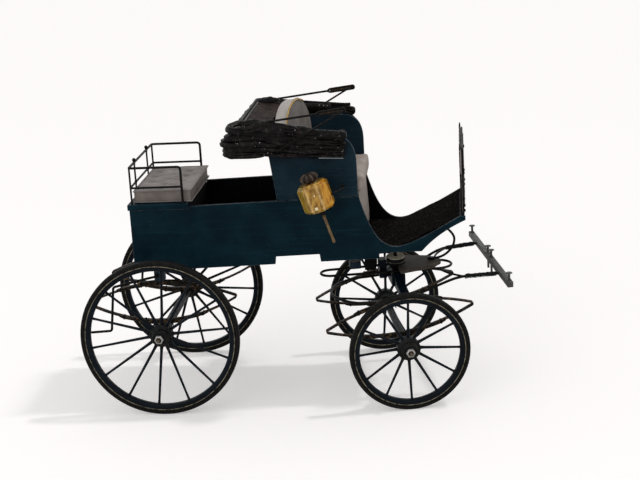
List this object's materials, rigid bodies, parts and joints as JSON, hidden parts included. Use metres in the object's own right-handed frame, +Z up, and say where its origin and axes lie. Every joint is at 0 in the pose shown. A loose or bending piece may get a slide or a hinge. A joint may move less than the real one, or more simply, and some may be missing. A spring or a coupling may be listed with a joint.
{
  "type": "phaeton scale model",
  "caption": "Scale model of an open phaeton: boat body on spoked wheels, steering fore-carriage, folded leather hood, side lamps, buttoned seats and a railed rear seat.",
  "frame": {"origin": "on the ground under the middle of the whole vehicle's bounding box", "axes": "+X forward towards the splinter bar, +Y to the vehicle's left, +Z up"},
  "size_m": [0.3756, 0.189, 0.2629],
  "materials": {
    "aged_brass": "aged brass",
    "amber_glass": "amber glass",
    "axle_paint": "satin dark blue paint",
    "bar_grey": "worn grey metal",
    "black_iron": "black painted iron",
    "black_tyre": "matt black",
    "foot_mat": "worn black carpet",
    "grey_leather": "soft worn leather",
    "hood_leather": "creased black-brown leather",
    "navy_paint": "satin navy paint",
    "pale_leather": "pale leather",
    "plate_wood": "aged wood",
    "spring_steel": "dark aged steel",
    "well_black": "matt black paint",
    "wheel_paint": "satin dark blue paint"
  },
  "bodies": {
    "body": {"side_panel_right": "navy_paint", "side_panel_left": "navy_paint", "body_floor": "well_black", "footwell_board": "well_black", "rear_panel": "navy_paint", "rear_seat_board": "navy_paint", "rear_cushion": "grey_leather", "rear_rail": "black_iron", "seat_side_right": "navy_paint", "seat_side_left": "navy_paint", "front_seat_board": "navy_paint", "front_cushion": "grey_leather", "seat_fall": "grey_leather", "back_cushion": "pale_leather", "foot_mat": "foot_mat", "dash": "hood_leather", "front_transom": "black_iron", "kingpin": "black_iron", "rear_axle": "axle_paint", "rear_spring_right": "spring_steel", "rear_spring_left": "spring_steel", "spring_block_right": "navy_paint", "spring_block_left": "navy_paint", "rear_step_right": "black_iron", "rear_step_left": "black_iron"},
    "fore_carriage": {"front_axle": "axle_paint", "front_spring_right": "spring_steel", "front_spring_left": "spring_steel", "front_bed": "wheel_paint", "turntable_plate": "plate_wood", "kingpin_cup": "plate_wood", "upper_loop": "black_iron", "hoop_frame": "black_iron", "splinter_bar": "bar_grey", "stay_iron": "black_iron", "clamp_block": "navy_paint"},
    "rear_wheel_right": {"rear_right_tyre": "black_tyre", "rear_right_wheel": "wheel_paint"},
    "front_wheel_right": {"front_right_tyre": "black_tyre", "front_right_wheel": "wheel_paint"},
    "rear_wheel_left": {"rear_left_tyre": "black_tyre", "rear_left_wheel": "wheel_paint"},
    "front_wheel_left": {"front_left_tyre": "black_tyre", "front_left_wheel": "wheel_paint"},
    "lamp_right": {"lamp_glass_right": "amber_glass", "lamp_core_right": "aged_brass", "lamp_bracket_right": "black_iron"},
    "lamp_left": {"lamp_glass_left": "amber_glass", "lamp_core_left": "aged_brass", "lamp_bracket_left": "black_iron"},
    "hood_low": {"hood_roll_low": "hood_leather"},
    "hood_mid": {"hood_roll_mid": "hood_leather"},
    "hood_top": {"hood_roll_top": "hood_leather", "hood_bow": "black_iron", "hood_curtain": "hood_leather"},
    "iron_upper_right": {"iron_upper_right": "black_iron"},
    "iron_lower_right": {"iron_lower_right": "black_iron"},
    "iron_upper_left": {"iron_upper_left": "black_iron"},
    "iron_lower_left": {"iron_lower_left": "black_iron"}
  },
  "joints": [
    {"name": "steering", "type": "hinge", "parent": "body", "child": "fore_carriage", "pos_m": [0.08515, -0.00469, 0.1], "axis": [0, 0, 1], "range_deg": [-38.9, 17.1]},
    {"name": "rear_right_spin", "type": "hinge", "parent": "body", "child": "rear_wheel_right", "pos_m": [-0.11785, -0.07439, 0.07], "axis": [0, 1, 0], "continuous": true},
    {"name": "front_right_spin", "type": "hinge", "parent": "fore_carriage", "child": "front_wheel_right", "pos_m": [0.09676, -0.07344, 0.0524], "axis": [-0.1891, 0.982, 0], "continuous": true},
    {"name": "rear_left_spin", "type": "hinge", "parent": "body", "child": "rear_wheel_left", "pos_m": [-0.11785, 0.06501, 0.07], "axis": [0, 1, 0], "continuous": true},
    {"name": "front_left_spin", "type": "hinge", "parent": "fore_carriage", "child": "front_wheel_left", "pos_m": [0.0704, 0.06345, 0.0524], "axis": [-0.1891, 0.982, 0], "continuous": true},
    {"name": "lamp_right_swing", "type": "hinge", "parent": "body", "child": "lamp_right", "pos_m": [0.04566, -0.05529, 0.194], "axis": [0, 1, 0], "range_deg": [-10, 15]},
    {"name": "lamp_left_swing", "type": "hinge", "parent": "body", "child": "lamp_left", "pos_m": [0.04566, 0.04591, 0.194], "axis": [0, 1, 0], "range_deg": [-10, 15]},
    {"name": "hood_low_lift", "type": "hinge", "parent": "body", "child": "hood_low", "pos_m": [0.05266, -0.00469, 0.232], "axis": [0, 1, 0], "range_deg": [0, 10]},
    {"name": "hood_mid_lift", "type": "hinge", "parent": "hood_low", "child": "hood_mid", "pos_m": [0.05266, -0.00469, 0.232], "axis": [0, 1, 0], "range_deg": [0, 10]},
    {"name": "hood_top_lift", "type": "hinge", "parent": "hood_mid", "child": "hood_top", "pos_m": [0.05266, -0.00469, 0.232], "axis": [0, 1, 0], "range_deg": [0, 10]},
    {"name": "iron_upper_right_fold", "type": "hinge", "parent": "hood_top", "child": "iron_upper_right", "pos_m": [-0.02484, -0.06044, 0.25139], "axis": [0, 1, 0], "range_deg": [0, 10.5]},
    {"name": "iron_lower_right_fold", "type": "hinge", "parent": "iron_upper_right", "child": "iron_lower_right", "pos_m": [0.04945, -0.06594, 0.25999], "axis": [0, 1, 0], "range_deg": [-17.25, 0]},
    {"name": "iron_upper_left_fold", "type": "hinge", "parent": "hood_top", "child": "iron_upper_left", "pos_m": [-0.02484, 0.05106, 0.25139], "axis": [0, 1, 0], "range_deg": [0, 10.5]},
    {"name": "iron_lower_left_fold", "type": "hinge", "parent": "iron_upper_left", "child": "iron_lower_left", "pos_m": [0.04945, 0.05656, 0.25999], "axis": [0, 1, 0], "range_deg": [-17.25, 0]}
  ],
  "couplings": [
    {"joint": "hood_mid_lift", "follows": "hood_low_lift", "ratio": 1},
    {"joint": "hood_top_lift", "follows": "hood_low_lift", "ratio": 1},
    {"joint": "iron_upper_right_fold", "follows": "hood_low_lift", "ratio": 1.05},
    {"joint": "iron_lower_right_fold", "follows": "hood_low_lift", "ratio": -1.725},
    {"joint": "iron_upper_left_fold", "follows": "hood_low_lift", "ratio": 1.05},
    {"joint": "iron_lower_left_fold", "follows": "hood_low_lift", "ratio": -1.725}
  ]
}
